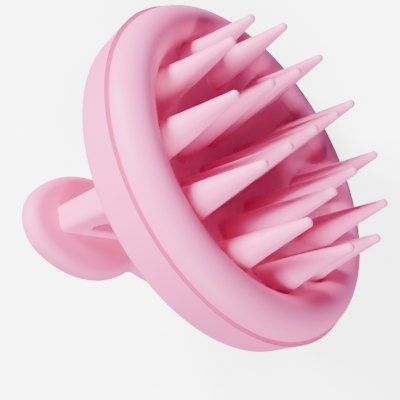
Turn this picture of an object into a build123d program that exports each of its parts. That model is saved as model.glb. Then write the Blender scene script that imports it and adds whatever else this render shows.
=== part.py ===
"""Scalp massager brush: soft dished brush head with 19 conical teeth, hard shell and two-lobed grip.

Units are millimetres. +Z points up, from the tooth tips to the grip. The origin is the point on the
floor, midway between the tooth tips, that the brush stands over. The grip is long in Y.
"""
import os
from math import sqrt

from build123d import *

os.makedirs("parts", exist_ok=True)

# ---- driving dimensions --------------------------------------------------------------------------
# Teeth
outer_ring_gap = 0.295  # between an outer tooth and the rim beside it
ring_spacing = 11.8
outer_tooth_count = 12
inner_tooth_count = 6
tip_ball_radius = 1.0
tip_neck_radius = 0.95
tooth_taper = 0.151  # growth of a tooth's radius for each millimetre of its length
stud_radius = 2.0  # stud behind each tooth, in the carrier
seam_gap = 0.05

# Soft pad
floor_depth = 27.6  # centre of the recessed floor, above the tip balls' centres
dish_sag = 16.503  # drop of the dished floor from its centre out to the middle of the rim
pad_thickness = 2.2
rim_section_radius = 4.75
rim_mid_drop = 10.35  # middle of the rim's section, below the floor's centre
rim_foot_fillet = 1.5
rim_back_offset = 0.35  # from the middle of the rim's section up to its back face
spigot_height = 4.9
spigot_wall = 5.0

# Carrier and seal
bond_gap = 0.15
carrier_thickness = 2.0
carrier_flange_reach = 1.7
carrier_flange_height = 1.5
carrier_flange_offset = 1.8  # from the rim's back face up to the flange
seal_section_radius = 1.1
seal_offset = 2.6  # from the rim's back face up to the middle of the seal
seal_squeeze_gap = 0.15

# Head shell
lip_radius = 40.0
band_draft = 0.9
band_height = 7.8
band_back_fillet = 1.2
shell_wall = 2.4
slide_clearance = 0.3
edge_gap = 0.05  # between the pad's back face and the shell's edge
seat_overhang = 3.4  # seat for the handle, beyond the web's foot
seat_rise = 0.8
seat_depth = 6.0
seat_fillet = 0.35

# Handle frame
gasket_thickness = 0.8
gasket_overhang = 2.4
web_thickness = 6.8
web_foot_thickness = 7.8
web_flare = 6.0  # how much wider the web is at the grip than at its foot
web_end_inset = 7.2  # from the grip's end in to the web
web_height = 17.85
web_corner_radius = 1.7
web_fit_gap = 0.12  # round the web, where it passes through the grip's floor
slot_end_wall = 3.2
slot_height = 5.2
slot_below_grip = 4.8  # centre of the slot, below the grip's underside
slot_edge_fillet = 0.8
flange_plate_thickness = 2.0
flange_plate_inset = 4.0

# Stem screws
screw_spacing = 18.0
screw_radius = 1.45
screw_clearance = 0.25
screw_pilot_gap = 0.05
screw_head_radius = 2.75
screw_head_height = 1.5
screw_head_fillet = 0.5
screw_head_gap = 0.106  # between the heads and the carrier
screw_depth = 5.0
screw_pad_length = 27.0
screw_pad_width = 8.0
screw_pad_drop = 1.0  # flat seat for the heads, below the crown of the shell's inside

# Grip: two lobes, one each side of a waist
grip_length = 59.6
grip_width = 26.4
lobe_reach = 7.6  # from the widest place of a lobe to the centre of its end
lobe_shoulder = 3.0  # how much the end's radius is less than half of the width
waist_radius = 4.0
grip_floor = 2.3
grip_side_height = 5.0
grip_lower_fillet = 2.6
grip_upper_fillet = 1.5
cover_gap = 0.15
cover_rise = 4.2
cover_edge_height = 0.6
cover_taper = 38.0  # degrees
cover_top_fillet = 3.0
peg_radius = 1.4
peg_depth = 1.2
peg_gap = 0.05
peg_offset = 3.0  # beyond the widest place of the lobe

# ---- sizes that follow ---------------------------------------------------------------------------
floor_z = tip_ball_radius + floor_depth
rim_mid_height = floor_z - rim_mid_drop
pad_back_height = rim_mid_height + rim_back_offset
seal_height = pad_back_height + seal_offset
band_back_radius = lip_radius - band_draft
rim_mid_radius = band_back_radius - rim_section_radius
dish_radius = (rim_mid_radius**2 + dish_sag**2) / (2 * dish_sag)
dish_centre_z = floor_z - dish_radius
pad_back_radius = dish_radius + pad_thickness
carrier_front_radius = pad_back_radius + bond_gap
carrier_back_radius = carrier_front_radius + carrier_thickness

shell_bore_radius = band_back_radius - shell_wall
spigot_radius = shell_bore_radius - slide_clearance
spigot_bore_radius = spigot_radius - spigot_wall
carrier_radius = spigot_bore_radius - bond_gap
flange_z = pad_back_height + carrier_flange_offset
seal_mid_radius = shell_bore_radius - seal_squeeze_gap - seal_section_radius

shell_edge_z = pad_back_height + edge_gap
band_back_z = shell_edge_z + band_height
carrier_top_z = dish_centre_z + sqrt(carrier_back_radius**2 - (screw_spacing / 2 - screw_head_radius) ** 2)
screw_pad_z = carrier_top_z + screw_head_gap + screw_head_height
dome_top_z = screw_pad_z + screw_pad_drop + shell_wall
dome_rise = dome_top_z - band_back_z
dome_radius = (band_back_radius**2 + dome_rise**2) / (2 * dome_rise)
dome_centre_z = dome_top_z - dome_radius
seat_z = dome_top_z + seat_rise
web_head_width = grip_length - 2 * web_end_inset
web_foot_width = web_head_width - web_flare
slot_length = web_foot_width - 2 * slot_end_wall
seat_length = web_foot_width + 2 * seat_overhang
seat_width = web_foot_thickness + 2 * seat_overhang

web_foot_z = seat_z + gasket_thickness
grip_z = web_foot_z + web_height
slot_z = grip_z - slot_below_grip
plate_z = grip_z + grip_floor
plate_top_z = plate_z + flange_plate_thickness
grip_top_z = grip_z + grip_side_height
cover_inset = flange_plate_inset + cover_gap
plate_inset = flange_plate_inset + bond_gap
lobe_end_radius = grip_width / 2 - lobe_shoulder
lobe_offset = grip_length / 2 - lobe_end_radius - lobe_reach  # brush's axis to a lobe's widest place
peg_x = (web_thickness / 2 + grip_width / 2 - plate_inset - peg_gap) / 2
peg_y = lobe_offset + peg_offset


def sphere_height(radius: float, centre_z: float, distance: float) -> float:
    """Height of a dished surface at a distance from the brush's axis."""
    return centre_z + sqrt(radius**2 - distance**2)


def cone_radius(height: float) -> float:
    """Radius of a tooth at a height above the floor that the brush stands on."""
    return tip_neck_radius + tooth_taper * (height - tip_ball_radius)


outer_ring_radius = rim_mid_radius - rim_section_radius - outer_ring_gap - cone_radius(rim_mid_height)
inner_ring_radius = outer_ring_radius - ring_spacing


def tooth_drop(ring_radius: float) -> float:
    """How far the pad's floor, under the outer side of a tooth's stud, lies below its centre."""
    return floor_z - sphere_height(dish_radius, dish_centre_z, ring_radius + stud_radius) + stud_radius


def draw_lobes(inset: float) -> None:
    """Draws the grip's two-lobed outline, moved inwards by inset, on the line being built."""
    half_width = grip_width / 2
    end_y = grip_length / 2 - lobe_end_radius
    reach = end_y - lobe_offset
    side_radius = (reach**2 + half_width**2 - lobe_end_radius**2) / (2 * (half_width - lobe_end_radius))
    side = Vector(half_width - side_radius, lobe_offset)
    end = Vector(0, end_y)
    waist = Vector(side.X + sqrt((side_radius + waist_radius) ** 2 - lobe_offset**2), 0)
    shoulder = side + (end - side).normalized() * (side_radius - inset)
    hip = side + (waist - side).normalized() * (side_radius - inset)
    widest = Vector(half_width - inset, lobe_offset)
    neck = waist - Vector(waist_radius + inset, 0)
    tip = Vector(0, grip_length / 2 - inset)
    for x, y in ((1, 1), (-1, -1)):
        first = [Vector(x * p.X, y * p.Y) for p in (hip, widest, shoulder)]
        second = [Vector(-x * p.X, y * p.Y) for p in (shoulder, widest, hip)]
        ThreePointArc(*first)
        ThreePointArc(first[-1], Vector(0, y * tip.Y), second[0])
        ThreePointArc(*second)
        ThreePointArc(second[-1], Vector(-x * neck.X, 0), Vector(-x * hip.X, -y * hip.Y))


def draw_dished_band(front_radius: float, back_radius: float, reach: float) -> None:
    """Draws half the section of a dished plate, between two spheres, on the line being built."""
    front = [(r, sphere_height(front_radius, dish_centre_z, r)) for r in (0, reach / 2, reach)]
    back = [(r, sphere_height(back_radius, dish_centre_z, r)) for r in (reach, reach / 2, 0)]
    ThreePointArc(*front)
    Line(front[-1], back[0])
    ThreePointArc(*back)
    Line(back[-1], front[0])


low_corner = (Align.MIN, Align.MIN)
high_corner = (Align.MIN, Align.MAX)
stand_up = (Align.CENTER, Align.CENTER, Align.MIN)
hang_down = (Align.CENTER, Align.CENTER, Align.MAX)

# ---- soft pad before its tooth holes -------------------------------------------------------------
with BuildSketch(Plane.XZ) as pad_section:
    with Locations((rim_mid_radius, rim_mid_height)):
        Circle(rim_section_radius)
    with Locations((0, pad_back_height)):
        Rectangle(lip_radius, rim_section_radius, align=low_corner, mode=Mode.SUBTRACT)
    with BuildLine():
        draw_dished_band(dish_radius, pad_back_radius, spigot_bore_radius)
    make_face()
    with Locations((spigot_bore_radius, pad_back_height)):
        Rectangle(spigot_wall, spigot_height, align=low_corner)
        Rectangle(spigot_wall, pad_back_height - rim_mid_height, align=high_corner)
    foot = [v for v in pad_section.vertices() if v.X > outer_ring_radius and v.Y < rim_mid_height]
    fillet(min(foot, key=lambda vertex: vertex.X), rim_foot_fillet)
    with Locations((seal_mid_radius - seal_section_radius - bond_gap, seal_height)):
        Rectangle(spigot_wall, 2 * (seal_section_radius + bond_gap), align=(Align.MIN, Align.CENTER),
                  mode=Mode.SUBTRACT)
    with Locations((spigot_bore_radius, flange_z - bond_gap)):
        Rectangle(carrier_flange_reach, carrier_flange_height + 2 * bond_gap, align=low_corner,
                  mode=Mode.SUBTRACT)

# ---- teeth ---------------------------------------------------------------------------------------
tooth_rings = {"centre_bristle": (0.0, 1), "inner_bristles": (inner_ring_radius, inner_tooth_count),
               "outer_bristles": (outer_ring_radius, outer_tooth_count)}
for node, (ring_radius, count) in tooth_rings.items():
    root_z = sphere_height(dish_radius, dish_centre_z, ring_radius - cone_radius(floor_z))
    stud_z = sphere_height(pad_back_radius, dish_centre_z, ring_radius + stud_radius)
    stud_top_z = stud_z + carrier_thickness
    with BuildPart() as tooth:
        with Locations((0, 0, (tip_ball_radius + root_z) / 2)):
            Cone(tip_neck_radius, cone_radius(root_z), root_z - tip_ball_radius)
        with Locations((0, 0, tip_ball_radius)):
            Sphere(tip_ball_radius)
        with Locations((-ring_radius, 0, dish_centre_z)):
            Sphere(dish_radius - seam_gap, mode=Mode.INTERSECT)
        with Locations((0, 0, stud_top_z)):
            Cylinder(stud_radius, stud_top_z - floor_z + tooth_drop(ring_radius),
                     align=(Align.CENTER, Align.CENTER, Align.MAX))
    with BuildPart() as teeth:
        with PolarLocations(ring_radius, count):
            add(tooth.part)
    teeth.part.label = node
    export_step(teeth.part, f"parts/{node}.step")

# ---- soft pad ------------------------------------------------------------------------------------
with BuildPart() as bristle_pad:
    with BuildSketch(Plane.XZ):
        add(pad_section.sketch)
    revolve(axis=Axis.Z)
    for ring_radius, count in tooth_rings.values():
        with PolarLocations(ring_radius, count):
            Cylinder(stud_radius + seam_gap, dome_top_z, align=stand_up, mode=Mode.SUBTRACT)
bristle_pad.part.label = "bristle_pad"
export_step(bristle_pad.part, "parts/bristle_pad.step")

# ---- carrier behind the pad, with an edge flange that sits in the pad's groove -------------------
with BuildPart() as pad_carrier:
    with BuildSketch(Plane.XZ):
        with BuildLine():
            draw_dished_band(carrier_front_radius, carrier_back_radius, carrier_radius)
        make_face()
        with Locations((carrier_radius - carrier_thickness, flange_z)):
            Rectangle(carrier_thickness + carrier_flange_reach - bond_gap, carrier_flange_height,
                      align=low_corner)
    revolve(axis=Axis.Z)
    for ring_radius, count in tooth_rings.values():
        with PolarLocations(ring_radius, count):
            Cylinder(stud_radius + seam_gap, dome_top_z, align=stand_up, mode=Mode.SUBTRACT)
pad_carrier.part.label = "pad_carrier"
export_step(pad_carrier.part, "parts/pad_carrier.step")

# ---- seal round the pad's spigot -----------------------------------------------------------------
with BuildPart() as seal_ring:
    with Locations((0, 0, seal_height)):
        Torus(seal_mid_radius, seal_section_radius)
seal_ring.part.label = "seal_ring"
export_step(seal_ring.part, "parts/seal_ring.step")

# ---- head shell: band, domed back and the seat for the handle ------------------------------------
with BuildPart() as head_shell:
    with BuildSketch(Plane.XZ):
        with BuildLine():
            Polyline((0, shell_edge_z), (lip_radius, shell_edge_z), (band_back_radius, band_back_z))
            ThreePointArc((band_back_radius, band_back_z),
                          (band_back_radius / 2,
                           sphere_height(dome_radius, dome_centre_z, band_back_radius / 2)),
                          (0, dome_top_z))
            Line((0, dome_top_z), (0, shell_edge_z))
        make_face()
    revolve(axis=Axis.Z)
    back_edge = [edge for edge in head_shell.edges().filter_by(GeomType.CIRCLE)
                 if abs(edge.radius - band_back_radius) < seam_gap]
    fillet(back_edge, band_back_fillet)
    with BuildSketch(Plane.XY.offset(seat_z)):
        SlotOverall(seat_length, seat_width, rotation=90)
    extrude(amount=-seat_depth)
    seat_top = head_shell.faces().sort_by(Axis.Z)[-1].edges()
    seat_foot = head_shell.edges(Select.LAST).filter_by(GeomType.BSPLINE)
    fillet(seat_top + seat_foot, seat_fillet)
    with BuildSketch(Plane.XZ):
        with BuildLine():
            inner_radius = dome_radius - shell_wall
            inner_rim = (shell_bore_radius, sphere_height(inner_radius, dome_centre_z, shell_bore_radius))
            Polyline((0, dome_top_z - shell_wall), (0, shell_edge_z), (shell_bore_radius, shell_edge_z),
                     inner_rim)
            ThreePointArc(inner_rim,
                          (shell_bore_radius / 2,
                           sphere_height(inner_radius, dome_centre_z, shell_bore_radius / 2)),
                          (0, dome_top_z - shell_wall))
        make_face()
    revolve(axis=Axis.Z, mode=Mode.SUBTRACT)
    with BuildSketch(Plane.XY.offset(screw_pad_z)):
        SlotOverall(screw_pad_length, screw_pad_width, rotation=90)
    extrude(amount=seat_z - screw_pad_z)
    with Locations((0, 0, screw_pad_z)):
        with GridLocations(0, screw_spacing, 1, 2):
            Cylinder(screw_radius + screw_clearance, 2 * shell_wall, align=stand_up, mode=Mode.SUBTRACT)
head_shell.part.label = "head_shell"
export_step(head_shell.part, "parts/head_shell.step")

# ---- gasket between the shell and the handle -----------------------------------------------------
with BuildPart() as stem_gasket:
    with BuildSketch(Plane.XY.offset(seat_z)):
        SlotOverall(web_foot_width + gasket_overhang, web_foot_thickness + gasket_overhang, rotation=90)
        with GridLocations(0, screw_spacing, 1, 2):
            Circle(screw_radius + screw_clearance, mode=Mode.SUBTRACT)
    extrude(amount=gasket_thickness)
stem_gasket.part.label = "stem_gasket"
export_step(stem_gasket.part, "parts/stem_gasket.step")

# ---- handle frame: web with a slot, and the plate inside the grip --------------------------------
with BuildPart() as handle_frame:
    with BuildSketch(Plane.XY.offset(web_foot_z)):
        RectangleRounded(web_foot_thickness, web_foot_width, web_corner_radius)
    with BuildSketch(Plane.XY.offset(grip_z)):
        RectangleRounded(web_thickness, web_head_width, web_corner_radius)
    loft()
    with BuildSketch(Plane.XY.offset(grip_z)):
        RectangleRounded(web_thickness, web_head_width, web_corner_radius)
    extrude(amount=grip_floor)
    with BuildSketch(Plane.YZ.offset(-web_thickness)):
        with Locations((0, slot_z)):
            SlotOverall(slot_length, slot_height)
    extrude(amount=2 * web_thickness, mode=Mode.SUBTRACT)
    slot_walls = [face for face in handle_frame.faces()
                  if abs(face.center().X) < web_thickness / 4 and abs(face.center().Y) < slot_length / 2
                  and abs(face.center().Z - slot_z) < slot_height]
    slot_rim = [edge for wall in slot_walls for edge in wall.edges()
                if abs(edge.center().X) > web_thickness / 3]
    fillet(slot_rim, slot_edge_fillet)
    with BuildSketch(Plane.XY.offset(plate_z)):
        with BuildLine():
            draw_lobes(plate_inset)
        make_face()
        with GridLocations(2 * peg_x, 2 * peg_y, 2, 2):
            Circle(peg_radius + peg_gap, mode=Mode.SUBTRACT)
    extrude(amount=flange_plate_thickness)
    with Locations((0, 0, web_foot_z)):
        with GridLocations(0, screw_spacing, 1, 2):
            Cylinder(screw_radius + screw_pilot_gap, screw_depth + screw_pilot_gap, align=stand_up,
                     mode=Mode.SUBTRACT)
handle_frame.part.label = "handle_frame"
export_step(handle_frame.part, "parts/handle_frame.step")

# ---- screws that hold the handle, put in from inside the shell ------------------------------------
with BuildPart() as stem_screws:
    with Locations((0, 0, screw_pad_z)):
        with GridLocations(0, screw_spacing, 1, 2):
            Cylinder(screw_radius, web_foot_z + screw_depth - screw_pad_z, align=stand_up)
            Cylinder(screw_head_radius, screw_head_height, align=hang_down)
    fillet(stem_screws.faces().sort_by(Axis.Z)[:2].edges(), screw_head_fillet)
stem_screws.part.label = "stem_screws"
export_step(stem_screws.part, "parts/stem_screws.step")

# ---- grip base: the underside with its rounded lip ------------------------------------------------
with BuildPart() as grip_base:
    with BuildSketch(Plane.XY.offset(grip_z)):
        with BuildLine():
            draw_lobes(0)
        make_face()
    extrude(amount=grip_side_height)
    fillet(grip_base.faces().sort_by(Axis.Z)[0].edges(), grip_lower_fillet)
    fillet(grip_base.faces().sort_by(Axis.Z)[-1].edges(), grip_upper_fillet)
    with BuildSketch(Plane.XY.offset(plate_z)):
        with BuildLine():
            draw_lobes(flange_plate_inset)
        make_face()
    extrude(amount=grip_side_height, mode=Mode.SUBTRACT)
    with BuildSketch(Plane.XY.offset(grip_z)):
        RectangleRounded(web_thickness + 2 * web_fit_gap, web_head_width + 2 * web_fit_gap,
                         web_corner_radius + web_fit_gap)
    extrude(amount=grip_side_height, mode=Mode.SUBTRACT)
    with Locations((0, 0, plate_z)):
        with GridLocations(2 * peg_x, 2 * peg_y, 2, 2):
            Cylinder(peg_radius + peg_gap, peg_depth + peg_gap, align=hang_down, mode=Mode.SUBTRACT)
grip_base.part.label = "grip_base"
export_step(grip_base.part, "parts/grip_base.step")

# ---- grip cover: the domed top pad with four pegs --------------------------------------------------
with BuildPart() as grip_cover:
    with BuildSketch(Plane.XY.offset(plate_top_z)):
        with BuildLine():
            draw_lobes(cover_inset)
        make_face()
    extrude(amount=grip_top_z + cover_edge_height - plate_top_z)
    crown = grip_cover.faces().sort_by(Axis.Z)[-1]
    extrude(crown, amount=cover_rise - cover_edge_height, taper=cover_taper)
    fillet(grip_cover.faces().sort_by(Axis.Z)[-1].edges(), cover_top_fillet)
    with Locations((0, 0, plate_top_z)):
        with GridLocations(2 * peg_x, 2 * peg_y, 2, 2):
            Cylinder(peg_radius, flange_plate_thickness + peg_depth, align=hang_down)
grip_cover.part.label = "grip_cover"
export_step(grip_cover.part, "parts/grip_cover.step")

print(f"overall height {grip_top_z + cover_rise:.2f}, web foot {web_foot_z:.2f}, grip {grip_z:.2f}, "
      f"slot {slot_z:.2f}, shell edge {shell_edge_z:.2f}, dome top {dome_top_z:.2f}")
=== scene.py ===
"""Looks of a pink scalp massager brush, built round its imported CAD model.

The soft head, its teeth and the two grip mouldings are modelled here; the shell, the handle frame and
the pieces inside the head are the CAD model's own, with finished materials. Everything is in metres.
"""

import logging
import math
from dataclasses import dataclass, field
from enum import Enum

import bmesh
import bpy
from mathutils import Matrix, Vector


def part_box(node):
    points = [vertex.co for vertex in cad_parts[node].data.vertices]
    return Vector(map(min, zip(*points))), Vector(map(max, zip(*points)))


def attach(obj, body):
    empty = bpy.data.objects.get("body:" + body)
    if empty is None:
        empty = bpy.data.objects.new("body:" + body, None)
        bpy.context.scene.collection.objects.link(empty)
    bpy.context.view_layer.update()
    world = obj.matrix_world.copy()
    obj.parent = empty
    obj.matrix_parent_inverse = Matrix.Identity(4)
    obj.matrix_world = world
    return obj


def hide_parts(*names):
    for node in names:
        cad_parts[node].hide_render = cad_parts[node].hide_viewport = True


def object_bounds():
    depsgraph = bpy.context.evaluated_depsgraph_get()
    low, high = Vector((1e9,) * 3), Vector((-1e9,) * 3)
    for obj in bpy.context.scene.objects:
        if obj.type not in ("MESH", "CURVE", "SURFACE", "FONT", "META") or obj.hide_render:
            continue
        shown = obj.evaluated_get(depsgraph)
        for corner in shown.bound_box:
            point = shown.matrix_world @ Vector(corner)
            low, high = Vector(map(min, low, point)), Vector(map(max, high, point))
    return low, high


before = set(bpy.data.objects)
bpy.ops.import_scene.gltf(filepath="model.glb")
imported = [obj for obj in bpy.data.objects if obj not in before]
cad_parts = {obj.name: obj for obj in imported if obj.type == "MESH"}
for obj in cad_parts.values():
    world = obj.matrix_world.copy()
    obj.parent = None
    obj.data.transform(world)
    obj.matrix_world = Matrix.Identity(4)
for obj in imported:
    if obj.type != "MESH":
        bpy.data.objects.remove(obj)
cad_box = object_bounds()

LOG = logging.getLogger("scalp_brush")
MM = 0.001
FULL_TURN = 2 * math.pi
SHARP_ANGLE = math.radians(40)
MERGE_DISTANCE = 0.002 * MM
Point = tuple[float, float]
Colour = tuple[float, float, float]


class Body(Enum):
    """The CAD bodies that pieces ride on."""

    HANDLE = "handle"
    BRUSH_HEAD = "brush_head"


# ---- shading -------------------------------------------------------------------------------------


class Sock:
    """A shader output that takes part in Python arithmetic; each operator adds a Math node."""

    def __init__(self, graph: "Graph", output: bpy.types.NodeSocket) -> None:
        """Wraps an output socket of a graph."""
        self.graph = graph
        self.output = output

    def _math(self, operation: str, first: "Sock | float", second: "Sock | float") -> "Sock":
        """Adds a Math node and returns its result."""
        return self.graph.node("ShaderNodeMath", {"operation": operation}, {0: first, 1: second}).out()

    def __add__(self, other: "Sock | float") -> "Sock":
        """self + other."""
        return self._math("ADD", self, other)

    __radd__ = __add__

    def __sub__(self, other: "Sock | float") -> "Sock":
        """self - other."""
        return self._math("SUBTRACT", self, other)

    def __rsub__(self, other: "Sock | float") -> "Sock":
        """other - self."""
        return self._math("SUBTRACT", other, self)

    def __mul__(self, other: "Sock | float") -> "Sock":
        """self * other."""
        return self._math("MULTIPLY", self, other)

    __rmul__ = __mul__

    def __gt__(self, other: "Sock | float") -> "Sock":
        """1 where self is greater than other, otherwise 0."""
        return self._math("GREATER_THAN", self, other)

    def __lt__(self, other: "Sock | float") -> "Sock":
        """1 where self is less than other, otherwise 0."""
        return self._math("LESS_THAN", self, other)

    def ramp(self, low: float, high: float, to_low: float = 0.0, to_high: float = 1.0) -> "Sock":
        """Maps the span low to high smoothly onto to_low to to_high.

        Args:
            low: value that gives to_low.
            high: value that gives to_high.
            to_low: result at low and below.
            to_high: result at high and above.

        Returns:
            The mapped value.
        """
        settings = {"interpolation_type": "SMOOTHSTEP"}
        values = {0: self, 1: low, 2: high, 3: to_low, 4: to_high}
        return self.graph.node("ShaderNodeMapRange", settings, values).out()


class Node:
    """A shader node of a graph."""

    def __init__(self, graph: "Graph", node: bpy.types.Node) -> None:
        """Wraps a node."""
        self.graph = graph
        self.node = node

    def out(self, key: int | str = 0) -> Sock:
        """One of the node's outputs."""
        return Sock(self.graph, self.node.outputs[key])


class Graph:
    """The node tree of one material."""

    def __init__(self, name: str) -> None:
        """Makes an empty material with the given name."""
        self.material = bpy.data.materials.new(name)
        self.material.use_nodes = True
        self.tree = self.material.node_tree
        self.tree.nodes.clear()

    def node(self, kind: str, settings: dict | None = None, inputs: dict | None = None) -> Node:
        """Adds a node.

        Args:
            kind: the node's type name.
            settings: its properties, set before its inputs.
            inputs: values or Socks for its input sockets, by name or number.

        Returns:
            The wrapped node.
        """
        made = self.tree.nodes.new(kind)
        for key, value in (settings or {}).items():
            setattr(made, key, value)
        for key, value in (inputs or {}).items():
            if isinstance(value, Sock):
                self.tree.links.new(value.output, made.inputs[key])
            else:
                made.inputs[key].default_value = value
        return Node(self, made)

    def mix(self, factor: Sock | float, first: Sock | tuple, second: Sock | tuple) -> Sock:
        """Mixes two colours; factor 1 gives the second."""
        settings = {"data_type": "RGBA", "blend_type": "MIX"}
        return self.node("ShaderNodeMix", settings, {0: factor, 6: first, 7: second}).out(2)

    def noise(self, place: Sock, size: float, detail: float = 2.0) -> Sock:
        """Fractal noise from 0 to 1 whose blotches are about size metres across."""
        values = {"Vector": place, "Scale": 1 / size, "Detail": detail, "Roughness": 0.55}
        return self.node("ShaderNodeTexNoise", {"noise_dimensions": "3D"}, values).out(0)

    def finish(self, shader: Node, bump: Sock | None = None, depth: float = 0.0) -> bpy.types.Material:
        """Adds the bump and the output, and returns the material."""
        if bump is not None:
            relief = self.node("ShaderNodeBump", inputs={"Height": bump, "Strength": 1.0, "Distance": depth})
            self.tree.links.new(relief.node.outputs[0], shader.node.inputs["Normal"])
        output = self.node("ShaderNodeOutputMaterial")
        self.tree.links.new(shader.node.outputs[0], output.node.inputs[0])
        return self.material


@dataclass(frozen=True)
class MouldedFinish:
    """A pink moulded surface: even colour with faint blotches, a fine matte grain, a few dust specks and,
    where asked, painted light that makes thin tips lighter, as if light shone through them.
    """

    name: str
    base: Colour
    deep: Colour
    roughness: float
    softness: float = 0.0
    soft_reach: Colour = (1.0, 0.38, 0.5)
    soft_scale: float = 2.2 * MM
    grain_size: float = 0.25 * MM
    grain_depth: float = 0.006 * MM
    blotch_size: float = 22 * MM
    smear_size: float = 9 * MM
    wave_size: float = 5 * MM
    wave_share: float = 2.0
    specks: float = 0.35
    speck_spacing: float = 9 * MM
    speck_radius: float = 0.014
    speck_cut: float = 0.45
    speck_colour: Colour = (0.16, 0.05, 0.08)
    # Painted light: the tips are painted lighter, as if light shone through the thin silicone, by this
    # share, between these heights and in this colour.
    painted_tip_light: float = 0.0
    painted_light_low: float = 1.2 * MM
    painted_light_high: float = 2.6 * MM
    painted_light_colour: Colour = (1.0, 0.5, 0.72)

    def build(self) -> bpy.types.Material:
        """Makes the material."""
        graph = Graph(self.name)
        place = graph.node("ShaderNodeTexCoord").out("Object")
        blotches = graph.noise(place, self.blotch_size, 3.0).ramp(0.3, 0.7)
        colour = graph.mix(blotches, (*self.base, 1), (*self.deep, 1))
        # Painted light: lighter colour towards the tooth tips stands in for light shining through the thin
        # silicone.
        if self.painted_tip_light:
            height = graph.node("ShaderNodeSeparateXYZ", inputs={0: place}).out(2)
            pale = height.ramp(self.painted_light_low, self.painted_light_high, self.painted_tip_light, 0.0)
            colour = graph.mix(pale, colour, (*self.painted_light_colour, 1))
        cells = graph.node("ShaderNodeTexVoronoi", {"feature": "F1"},
                           {"Vector": place, "Scale": 1 / self.speck_spacing})
        lottery = graph.node("ShaderNodeSeparateColor", inputs={0: cells.out("Color")})
        small = cells.out("Distance") < lottery.out(1) * self.speck_radius
        dust = small * (lottery.out(0) > self.speck_cut) * self.specks
        colour = graph.mix(dust, colour, (*self.speck_colour, 1))
        grain = graph.noise(place, self.grain_size, 2.0)
        smears = graph.noise(place, self.smear_size, 4.0)
        roughness = smears.ramp(0.25, 0.75, self.roughness - 0.05, self.roughness + 0.06) + grain * 0.04
        shader = graph.node("ShaderNodeBsdfPrincipled", {"subsurface_method": "RANDOM_WALK"}, {
            "Base Color": colour,
            "Roughness": roughness,
            "IOR": 1.43,
            "Subsurface Weight": self.softness,
            "Subsurface Radius": self.soft_reach,
            "Subsurface Scale": self.soft_scale,
        })
        waves = graph.noise(place, self.wave_size, 2.0)
        return graph.finish(shader, grain + waves * self.wave_share, self.grain_depth)


@dataclass(frozen=True)
class SteelFinish:
    """Stainless screws with turned marks."""

    name: str = "screw_stainless"
    tint: Colour = (0.58, 0.58, 0.6)
    dark: Colour = (0.46, 0.46, 0.48)
    mark_size: float = 0.3 * MM
    mark_depth: float = 0.004 * MM

    def build(self) -> bpy.types.Material:
        """Makes the material."""
        graph = Graph(self.name)
        place = graph.node("ShaderNodeTexCoord").out("Object")
        marks = graph.noise(place, self.mark_size, 3.0)
        colour = graph.mix(marks.ramp(0.35, 0.65), (*self.tint, 1), (*self.dark, 1))
        shader = graph.node("ShaderNodeBsdfPrincipled", {}, {
            "Base Color": colour, "Metallic": 1.0, "Roughness": marks.ramp(0.3, 0.7, 0.24, 0.42)})
        return graph.finish(shader, marks, self.mark_depth)


SILICONE = MouldedFinish("pad_silicone", (0.98, 0.16, 0.49), (0.96, 0.145, 0.46), 0.5, softness=0.1)
# The teeth get painted light: their tips are painted lighter, as if light shone through them.
TEETH = MouldedFinish("tooth_silicone", (0.98, 0.16, 0.49), (0.95, 0.145, 0.455), 0.46, softness=0.12,
                      painted_tip_light=0.2)
SHELL = MouldedFinish("shell_plastic", (0.95, 0.15, 0.46), (0.92, 0.135, 0.43), 0.5)
GRIP = MouldedFinish("grip_skin", (0.95, 0.15, 0.46), (0.92, 0.135, 0.43), 0.52)
CARRIER = MouldedFinish("carrier_plastic", (0.80, 0.74, 0.76), (0.76, 0.70, 0.72), 0.42, specks=0.1)
SEAL = MouldedFinish("seal_rubber", (0.80, 0.30, 0.46), (0.74, 0.26, 0.42), 0.6, specks=0.2)


# ---- modelling tools -----------------------------------------------------------------------------


def arc(centre: Point, radius: float, start: float, end: float, steps: int) -> list[Point]:
    """Points along an arc, ends included.

    Args:
        centre: centre of the arc.
        radius: its radius.
        start: angle of its first point, in radians.
        end: angle of its last point.
        steps: number of equal steps along it.

    Returns:
        The points, in order.
    """
    turns = [start + (end - start) * i / steps for i in range(steps + 1)]
    return [(centre[0] + radius * math.cos(t), centre[1] + radius * math.sin(t)) for t in turns]


def direction(start: Point, end: Point) -> float:
    """Angle of the line from one point to another."""
    return math.atan2(end[1] - start[1], end[0] - start[0])


def circles_cross(first: Point, first_radius: float, second: Point, second_radius: float) -> list[Point]:
    """The two points where two circles cross."""
    gap = math.dist(first, second)
    along = (gap**2 + first_radius**2 - second_radius**2) / (2 * gap)
    aside = math.sqrt(first_radius**2 - along**2)
    ux, uy = (second[0] - first[0]) / gap, (second[1] - first[1]) / gap
    mid = (first[0] + along * ux, first[1] + along * uy)
    return [(mid[0] + side * aside * uy, mid[1] - side * aside * ux) for side in (1, -1)]


def lathe(bm: bmesh.types.BMesh, outline: list[Point], steps: int, closed: bool = False) -> None:
    """Spins an outline of (radius, height) points about the Z axis.

    Args:
        bm: the mesh that gets the shape.
        outline: the points, in order.
        steps: segments round the turn.
        closed: whether the outline's last point joins its first.
    """
    points = [bm.verts.new((r, 0, z)) for r, z in outline]
    pairs = list(zip(points, points[1:])) + ([(points[-1], points[0])] if closed else [])
    edges = [bm.edges.new(pair) for pair in pairs]
    bmesh.ops.spin(bm, geom=points + edges, cent=(0, 0, 0), axis=(0, 0, 1), angle=FULL_TURN, steps=steps,
                   use_merge=True)
    bmesh.ops.remove_doubles(bm, verts=bm.verts, dist=MERGE_DISTANCE)


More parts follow.
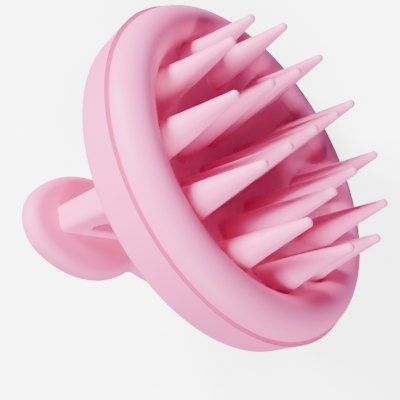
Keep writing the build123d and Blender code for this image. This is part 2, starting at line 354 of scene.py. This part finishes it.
def piece(name: str, bm: bmesh.types.BMesh, body: Body, finish: bpy.types.Material,
          replaced: list[str]) -> bpy.types.Object:
    """Turns a finished bmesh into a smooth-shaded piece that rides on a body.

    Args:
        name: the piece's name.
        bm: its shape, which is freed.
        body: the CAD body that carries it.
        finish: its material.
        replaced: the CAD nodes that it stands for.

    Returns:
        The new object.
    """
    bmesh.ops.recalc_face_normals(bm, faces=bm.faces)
    mesh = bpy.data.meshes.new(name)
    bm.to_mesh(mesh)
    bm.free()
    mesh.polygons.foreach_set("use_smooth", [True] * len(mesh.polygons))
    mesh.set_sharp_from_angle(angle=SHARP_ANGLE)
    mesh.materials.append(finish)
    made = bpy.data.objects.new(name, mesh)
    bpy.context.scene.collection.objects.link(made)
    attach(made, body.value)
    if replaced:
        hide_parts(*replaced)
    LOG.info("%s: %d faces on %s", name, len(mesh.polygons), body.value)
    return made


# ---- soft head -----------------------------------------------------------------------------------


@dataclass
class SoftHead:
    """The silicone pad with its rounded rim and dished floor, and the teeth that stand on it."""

    floor_height: float = 28.6 * MM
    dish_radius: float = 44.0 * MM
    floor_thickness: float = 2.2 * MM
    rim_radius: float = 34.35 * MM
    rim_section: float = 4.75 * MM
    rim_height: float = 18.25 * MM
    back_height: float = 18.6 * MM
    foot_fillet: float = 1.5 * MM
    spigot_radius: float = 36.4 * MM
    spigot_bore: float = 31.4 * MM
    spigot_height: float = 4.9 * MM
    groove_height: float = 2.5 * MM
    groove_depth: float = 2.4 * MM
    edge_round: float = 0.25 * MM
    turn_steps: int = 160
    floor_steps: int = 36
    under_steps: int = 24
    fillet_steps: int = 8
    crown_steps: int = 44
    edge_steps: int = 3
    tooth_rings: dict[str, tuple[float, int]] = field(default_factory=lambda: {
        "centre": (0.0, 1), "inner": (13.95 * MM, 6), "outer": (25.75 * MM, 12)})
    tip_ball: float = 1.0 * MM
    neck_radius: float = 0.95 * MM
    taper: float = 0.151
    root_fillet: dict[str, float] = field(default_factory=lambda: {
        "centre": 0.4 * MM, "inner": 0.4 * MM, "outer": 0.35 * MM})
    root_sink: float = 0.9 * MM
    root_share: float = 0.5
    ball_start: float = 0.3
    tooth_steps: int = 44
    side_steps: int = 16

    @property
    def dish_centre(self) -> Point:
        """Centre of the floor's front surface, as (radius, height)."""
        return (0.0, self.floor_height - self.dish_radius)

    def floor_at(self, distance: float) -> float:
        """Height of the floor's front surface at a distance from the brush's axis."""
        return self.dish_centre[1] + math.sqrt(self.dish_radius**2 - distance**2)

    def pad_outline(self) -> list[Point]:
        """The pad's section, from the floor's centre round the rim and back along the underside."""
        dish, rim, fillet = self.dish_centre, (self.rim_radius, self.rim_height), self.foot_fillet
        crossings = circles_cross(dish, self.dish_radius - fillet, rim, self.rim_section + fillet)
        foot = min(crossings, key=lambda point: point[0])
        on_dish, on_rim = direction(dish, foot), direction(rim, foot)
        floor = arc(dish, self.dish_radius, math.pi / 2, on_dish, self.floor_steps)
        bend = arc(foot, fillet, on_dish, direction(foot, rim), self.fillet_steps)
        crown_start = on_rim - FULL_TURN if on_rim > 0 else on_rim
        crown = arc(rim, self.rim_section, crown_start, 0.0, self.crown_steps)
        outer, lip = self.rim_radius + self.rim_section, self.edge_round
        back = arc((outer - lip, self.back_height - lip), lip, 0.0, math.pi / 2, self.edge_steps)
        under_radius = self.dish_radius + self.floor_thickness
        under_end = math.acos(self.spigot_bore / under_radius)
        under = arc(dish, under_radius, under_end, math.pi / 2, self.under_steps)
        return floor + bend[1:] + crown[1:] + back + self.spigot_outline() + under

    def spigot_outline(self) -> list[Point]:
        """The spigot's outer side, with the groove that holds the seal, and its back face."""
        low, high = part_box("seal_ring")
        groove_low = (low.z + high.z - self.groove_height) / 2
        groove_high = groove_low + self.groove_height
        groove_radius = self.spigot_radius - self.groove_depth
        top = self.back_height + self.spigot_height
        return [(self.spigot_radius, self.back_height), (self.spigot_radius, groove_low),
                (groove_radius, groove_low), (groove_radius, groove_high),
                (self.spigot_radius, groove_high), (self.spigot_radius, top), (self.spigot_bore, top)]

    def make_pad(self, finish: bpy.types.Material) -> bpy.types.Object:
        """Makes the pad."""
        bm = bmesh.new()
        lathe(bm, self.pad_outline(), self.turn_steps)
        return piece("soft_pad", bm, Body.BRUSH_HEAD, finish, ["bristle_pad"])

    def tooth_outline(self, height: float, fillet: float) -> list[Point]:
        """A tooth's section as (radius, height above its root), from its sunk base to the tip.

        Args:
            height: height of the tooth above its root.
            fillet: radius of the curve between the floor and the tooth.

        Returns:
            The points, in order.
        """
        lean = math.atan(self.taper)
        root = self.neck_radius + self.taper * (height - self.tip_ball)
        centre = (root + fillet * (1 / math.cos(lean) - math.tan(lean)), fillet)
        sunk = [(0.0, -self.root_sink), (centre[0], -self.root_sink)]
        flare = arc(centre, fillet, -math.pi / 2, -math.pi - lean, self.fillet_steps)
        (foot_radius, foot_height), neck_height = flare[-1], height - self.tip_ball
        shares = [i / self.side_steps for i in range(1, self.side_steps + 1)]
        side = [(foot_radius + (self.neck_radius - foot_radius) * share,
                 foot_height + (neck_height - foot_height) * share) for share in shares]
        ball = arc((0.0, neck_height), self.tip_ball, self.ball_start, math.pi / 2, self.fillet_steps)
        return sunk + flare + side + ball

    def seat_tooth(self, verts: list[bmesh.types.BMVert], axis: Vector, height: float) -> None:
        """Stands a tooth, made root up about the Z axis, on the dished floor.

        Args:
            verts: the tooth's vertices.
            axis: the place of its axis.
            height: its height, over which its sloping root turns level.
        """
        root = self.floor_at(axis.length)
        for vert in verts:
            rise = vert.co.z
            vert.co.x += axis.x
            vert.co.y += axis.y
            level = min(max(rise / (self.root_share * height), 0.0), 1.0)
            level = level * level * (3 - 2 * level)
            slope = self.floor_at(math.hypot(vert.co.x, vert.co.y)) - root
            vert.co.z = root + slope * (1 - level) - rise

    def make_teeth(self, finish: bpy.types.Material) -> list[bpy.types.Object]:
        """Makes the three rings of teeth."""
        made = []
        for ring, (radius, count) in self.tooth_rings.items():
            height = self.floor_at(radius)
            bm = bmesh.new()
            for index in range(count):
                tooth = bmesh.new()
                lathe(tooth, self.tooth_outline(height, self.root_fillet[ring]), self.tooth_steps)
                turn = FULL_TURN * index / count
                axis = Vector((radius * math.cos(turn), radius * math.sin(turn), 0))
                self.seat_tooth(list(tooth.verts), axis, height)
                mesh = bpy.data.meshes.new("tooth")
                tooth.to_mesh(mesh)
                tooth.free()
                bm.from_mesh(mesh)
                bpy.data.meshes.remove(mesh)
            node = f"{ring}_bristle" if count == 1 else f"{ring}_bristles"
            made.append(piece(f"{ring}_teeth", bm, Body.BRUSH_HEAD, finish, [node]))
        return made


# ---- grip ----------------------------------------------------------------------------------------


@dataclass
class Lobes:
    """The grip's two-lobed outline, made of tangent arcs: two lobes along Y and a waist between them."""

    length: float
    width: float
    offset: float = 12.0 * MM
    end_radius: float = 10.2 * MM
    waist_radius: float = 4.0 * MM
    end_steps: int = 24
    side_steps: int = 12
    waist_steps: int = 8

    def points(self, inset: float = 0.0) -> list[Point]:
        """The outline, moved inwards by inset, counterclockwise from the waist on its +X side."""
        half, end = self.width / 2, (0.0, self.length / 2 - self.end_radius)
        reach = end[1] - self.offset
        side_radius = (reach**2 + half**2 - self.end_radius**2) / (2 * (half - self.end_radius))
        side = (half - side_radius, self.offset)
        waist = (side[0] + math.sqrt((side_radius + self.waist_radius) ** 2 - self.offset**2), 0.0)
        hip, shoulder = direction(side, waist), direction(side, end)
        neck = arc(waist, self.waist_radius + inset, math.pi, hip + math.pi, self.waist_steps)
        flank = arc(side, side_radius - inset, hip, shoulder, self.side_steps)
        tip = arc(end, self.end_radius - inset, shoulder, math.pi / 2, self.end_steps)
        quarter = neck + flank[1:] + tip[1:]
        half_turn = quarter + [(-x, y) for x, y in quarter[-2::-1]]
        return half_turn + [(-x, -y) for x, y in half_turn[1:-1]]


def stack(bm: bmesh.types.BMesh, outline: Lobes, levels: list[Point]) -> None:
    """Builds a closed shape from an outline at several levels.

    Args:
        bm: the mesh that gets the shape.
        outline: the outline.
        levels: (inset, height) of each level, in order.
    """
    rings = [[bm.verts.new((x, y, z)) for x, y in outline.points(inset)] for inset, z in levels]
    for lower, upper in zip(rings, rings[1:]):
        for i, vert in enumerate(lower):
            bm.faces.new((lower[i - 1], vert, upper[i], upper[i - 1]))
    for ring in (rings[0], rings[-1]):
        cap = bm.faces.new(ring)
        bmesh.ops.triangulate(bm, faces=[cap])


@dataclass
class Grip:
    """The mushroom grip: a two-lobed base with a rounded lip, and a domed thumb pad set into its top."""

    lower_round: float = 2.6 * MM
    upper_round: float = 1.5 * MM
    pad_gap: float = 0.15 * MM
    edge_round: float = 0.25 * MM
    well_depth: float = 1.2 * MM
    pad_side: float = 0.5 * MM
    crown_reach: float = 0.62
    crown_power: float = 2.4
    crown_steps: int = 16
    lower_steps: int = 10
    upper_steps: int = 7
    edge_steps: int = 3

    def outline(self) -> Lobes:
        """The outline of the base at its widest."""
        low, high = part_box("grip_base")
        return Lobes(high.y - low.y, high.x - low.x)

    def well_inset(self) -> float:
        """How far the well for the thumb pad lies inside the base's outline."""
        low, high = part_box("grip_cover")
        return (self.outline().width - (high.x - low.x)) / 2 - self.pad_gap

    def make_base(self, finish: bpy.types.Material) -> bpy.types.Object:
        """Makes the base."""
        low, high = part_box("grip_base")
        lower, upper, edge = self.lower_round, self.upper_round, self.edge_round
        lower_arc = arc((0, 0), lower, -math.pi / 2, 0, self.lower_steps)
        upper_arc = arc((0, 0), upper, 0, math.pi / 2, self.upper_steps)
        edge_arc = arc((0, 0), edge, math.pi / 2, 0, self.edge_steps)
        under = [(lower - x, low.z + lower + y) for x, y in lower_arc]
        over = [(upper - x, high.z - upper + y) for x, y in upper_arc]
        inset = self.well_inset()
        well = [(inset - edge + x, high.z - edge + y) for x, y in edge_arc]
        well.append((inset, high.z - self.well_depth))
        bm = bmesh.new()
        stack(bm, self.outline(), under + over + well)
        return piece("grip_body", bm, Body.HANDLE, finish, ["grip_base"])

    def make_thumb_pad(self, finish: bpy.types.Material) -> bpy.types.Object:
        """Makes the thumb pad."""
        base_top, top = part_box("grip_base")[1].z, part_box("grip_cover")[1].z
        inset = self.well_inset() + self.pad_gap
        room = self.outline().width / 2 - inset
        foot = base_top + self.pad_side
        levels = [(inset, base_top - self.well_depth), (inset, foot)]
        for i in range(1, self.crown_steps + 1):
            across = i / self.crown_steps
            rise = (1 - (1 - across) ** self.crown_power) ** (1 / self.crown_power)
            levels.append((inset + across * self.crown_reach * room, foot + (top - foot) * rise))
        bm = bmesh.new()
        stack(bm, self.outline(), levels)
        return piece("thumb_pad", bm, Body.HANDLE, finish, ["grip_cover"])


# ---- studio --------------------------------------------------------------------------------------


@dataclass(frozen=True)
class Lamp:
    """An area light that faces the brush; lean is in the camera's right, up and backward directions."""

    name: str
    lean: tuple[float, float, float]
    size: float
    power: float
    tint: Colour
    reach: float = 0.8


LAMPS = (Lamp("key", (-0.62, 0.60, 0.50), 0.25, 30.0, (1.0, 0.985, 0.99)),
         Lamp("side", (-0.95, 0.25, 0.25), 0.5, 2.0, (0.99, 0.99, 1.0)),
         Lamp("front", (0.10, -0.66, 0.74), 0.4, 16.0, (0.98, 0.99, 1.0)))


@dataclass
class Studio:
    """Camera, lights and the pale surfaces that the brush stands on and leans before."""

    azimuth: float = math.radians(-26.73)
    elevation: float = math.radians(-35.23)
    roll: float = math.radians(-118.4)
    distance: float = 140 * MM
    aim: tuple[float, float, float] = (-5.46 * MM, -7.35 * MM, 27.9 * MM)
    lens: float = 58.27
    sensor_width: float = 36.0
    clip_start: float = 5 * MM
    clip_end: float = 10.0
    sky_tint: Colour = (0.94, 0.96, 1.0)
    sky_strength: float = 0.16
    paper_glow: float = 3.0
    fibre_size: float = 60 * MM
    table_turn: float = math.radians(-27.5)
    table_tilt: float = math.radians(-20.5)
    table_size: float = 1.6
    gap: float = 0.3 * MM

    @staticmethod
    def towards(azimuth: float, elevation: float) -> Vector:
        """Direction from the brush to a viewer; azimuth 0 stands in front, on the -Y side."""
        flat = math.cos(elevation)
        return Vector((math.sin(azimuth) * flat, -math.cos(azimuth) * flat, math.sin(elevation)))

    def camera_axes(self) -> Matrix:
        """The camera's right, up and backward directions as the columns of a matrix."""
        back = self.towards(self.azimuth, self.elevation)
        right = Vector((math.cos(self.azimuth), math.sin(self.azimuth), 0))
        up = back.cross(right)
        turned = right * math.cos(self.roll) + up * math.sin(self.roll)
        return Matrix((turned, back.cross(turned), back)).transposed()

    def make_camera(self) -> None:
        """Makes the scene's camera."""
        data = bpy.data.cameras.new("camera")
        data.lens, data.sensor_width = self.lens, self.sensor_width
        data.clip_start, data.clip_end = self.clip_start, self.clip_end
        camera = bpy.data.objects.new("camera", data)
        bpy.context.scene.collection.objects.link(camera)
        axes = self.camera_axes()
        place = Vector(self.aim) + axes.col[2] * self.distance
        camera.matrix_world = Matrix.Translation(place) @ axes.to_4x4()
        bpy.context.scene.camera = camera

    def make_light(self, lamp: Lamp) -> None:
        """Makes one of the lights."""
        data = bpy.data.lights.new(lamp.name, "AREA")
        data.shape, data.size, data.energy, data.color = "SQUARE", lamp.size, lamp.power, lamp.tint
        light = bpy.data.objects.new(lamp.name, data)
        bpy.context.scene.collection.objects.link(light)
        away = (self.camera_axes() @ Vector(lamp.lean)).normalized()
        centre = sum(cad_box, Vector()) / 2
        light.location = centre + away * lamp.reach
        light.rotation_mode = "QUATERNION"
        light.rotation_quaternion = (-away).to_track_quat("-Z", "Y")

    def stage_material(self) -> bpy.types.Material:
        """Pale matte paper that shows its front side only."""
        graph = Graph("stage_paper")
        place = graph.node("ShaderNodeTexCoord").out("Object")
        fibre = graph.noise(place, self.fibre_size, 3.0)
        colour = graph.mix(fibre, (0.93, 0.93, 0.93, 1), (0.91, 0.91, 0.912, 1))
        paper = graph.node("ShaderNodeBsdfPrincipled", {}, {
            "Base Color": colour, "Roughness": 0.9, "Emission Color": (1, 1, 1, 1),
            "Emission Strength": self.paper_glow})
        clear = graph.node("ShaderNodeBsdfTransparent")
        back = graph.node("ShaderNodeNewGeometry").out("Backfacing")
        mixed = graph.node("ShaderNodeMixShader", {}, {0: back})
        graph.tree.links.new(paper.node.outputs[0], mixed.node.inputs[1])
        graph.tree.links.new(clear.node.outputs[0], mixed.node.inputs[2])
        return graph.finish(mixed)

    def make_surface(self, name: str, facing: Vector, level: float, material: bpy.types.Material) -> None:
        """Makes one flat stage surface.

        Args:
            name: the surface's name.
            facing: the direction that its front faces.
            level: how far it lies from the origin along that direction.
            material: its material.
        """
        bm = bmesh.new()
        bmesh.ops.create_grid(bm, x_segments=1, y_segments=1, size=self.table_size / 2)
        turn = facing.to_track_quat("Z", "Y").to_matrix().to_4x4()
        bmesh.ops.transform(bm, matrix=Matrix.Translation(facing * level) @ turn, verts=bm.verts)
        mesh = bpy.data.meshes.new(name)
        bm.to_mesh(mesh)
        bm.free()
        mesh.materials.append(material)
        surface = bpy.data.objects.new(name, mesh)
        bpy.context.scene.collection.objects.link(surface)
        surface.visible_shadow = False
        surface.visible_diffuse = False
        surface.visible_glossy = False

    def build(self) -> None:
        """Makes the camera, the world, the lights and the stage."""
        self.make_camera()
        world = bpy.data.worlds.new("studio")
        world.use_nodes = True
        sky = world.node_tree.nodes["Background"]
        sky.inputs["Color"].default_value = (*self.sky_tint, 1)
        sky.inputs["Strength"].default_value = self.sky_strength
        bpy.context.scene.world = world
        for lamp in LAMPS:
            self.make_light(lamp)
        paper = self.stage_material()
        facing = self.towards(self.table_turn, self.table_tilt)
        low = min(facing.dot(v.co) for node in ("head_shell", "grip_base", "bristle_pad")
                  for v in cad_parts[node].data.vertices)
        self.make_surface("table", facing, low - self.gap, paper)
        self.make_surface("floor", Vector((0, 0, 1)), cad_box[0].z, paper)
        LOG.info("studio: table faces %s at %.4f m", tuple(round(c, 3) for c in facing), low)


def dress(node: str, finish: bpy.types.Material) -> None:
    """Gives a CAD node a finished material."""
    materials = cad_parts[node].data.materials
    materials.clear()
    materials.append(finish)
    LOG.info("%s: dressed in %s", node, finish.name)


def main() -> None:
    """Builds every sub-assembly, dresses the CAD nodes that stay and sets up the studio."""
    logging.basicConfig(level=logging.INFO, format="%(name)s %(message)s")
    Studio().build()
    silicone, tooth, shell, grip = (finish.build() for finish in (SILICONE, TEETH, SHELL, GRIP))
    head = SoftHead()
    head.make_pad(silicone)
    head.make_teeth(tooth)
    handle_grip = Grip()
    handle_grip.make_base(grip)
    handle_grip.make_thumb_pad(grip)
    carrier, seal, steel = CARRIER.build(), SEAL.build(), SteelFinish().build()
    for node, finish in {"head_shell": shell, "handle_frame": shell, "pad_carrier": carrier,
                         "seal_ring": seal, "stem_gasket": seal, "stem_screws": steel}.items():
        dress(node, finish)


if __name__ == "__main__":
    main()
